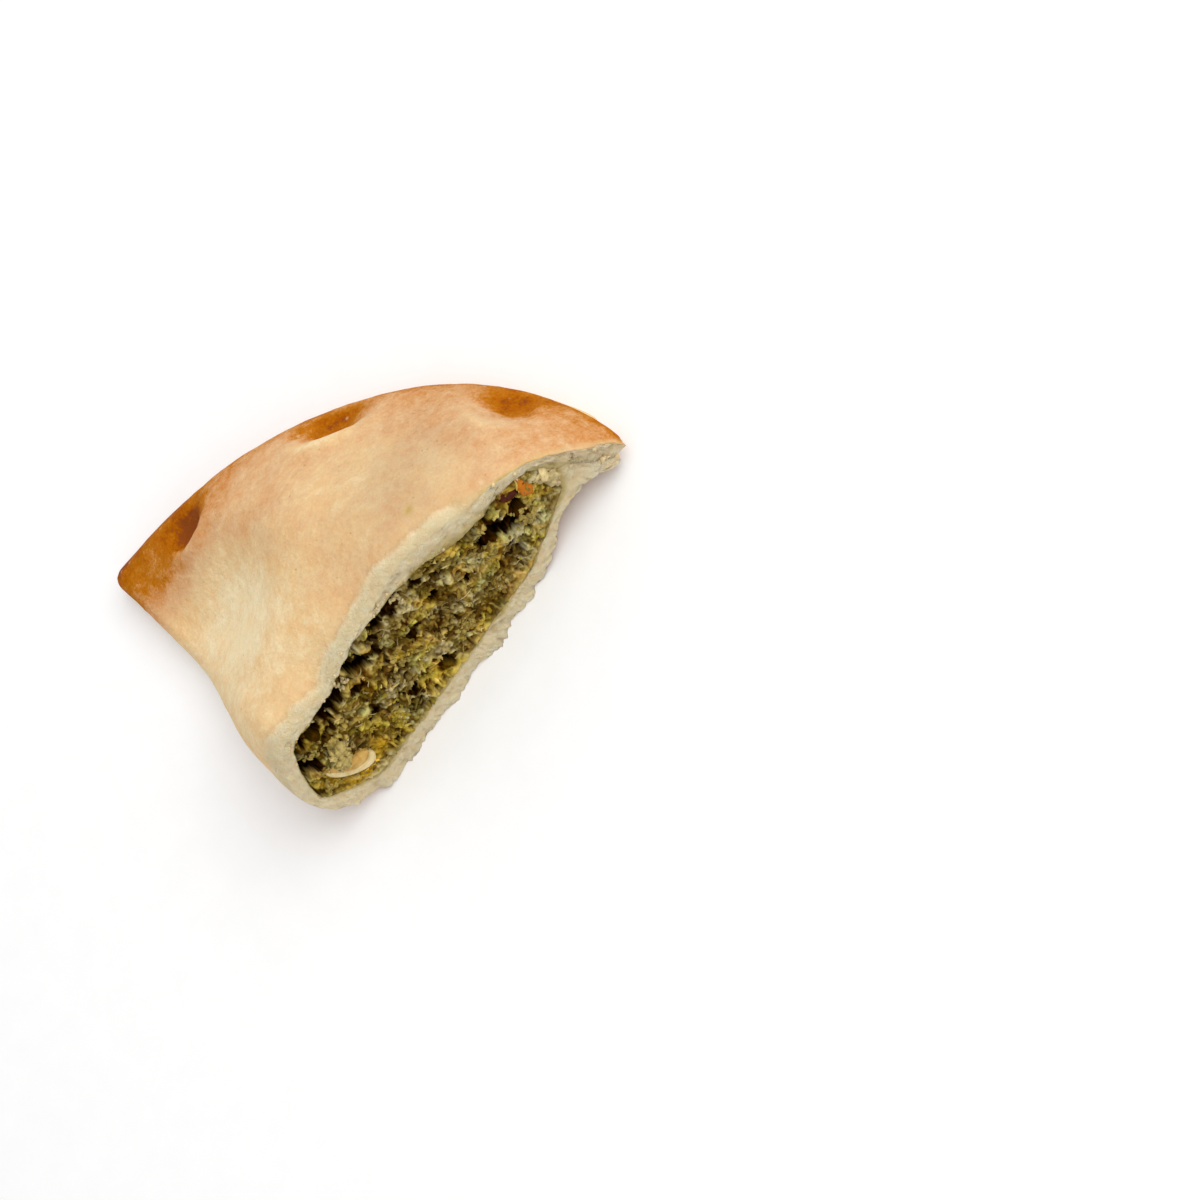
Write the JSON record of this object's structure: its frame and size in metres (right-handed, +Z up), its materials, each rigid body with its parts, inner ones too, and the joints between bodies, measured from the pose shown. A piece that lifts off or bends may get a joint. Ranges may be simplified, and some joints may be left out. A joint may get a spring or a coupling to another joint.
{
  "type": "savory turnover half",
  "caption": "Half of a baked savory turnover lying on its underside, with a folded edge, a sealed rim with finger presses and a cut face that shows chopped spinach filling.",
  "frame": {"origin": "bottom centre of the bounding box, on the surface that the half lies on", "axes": "+X from the folded edge to the sealed edge, along the cut; +Y from the cut to the tip; +Z up from the underside"},
  "size_m": [0.0832, 0.0677, 0.0335],
  "materials": {
    "crust": "baked dough, satin sheen",
    "filling": "moist chopped spinach"
  },
  "bodies": {
    "root": {"crust": "crust", "filling": "filling"}
  },
  "joints": []
}
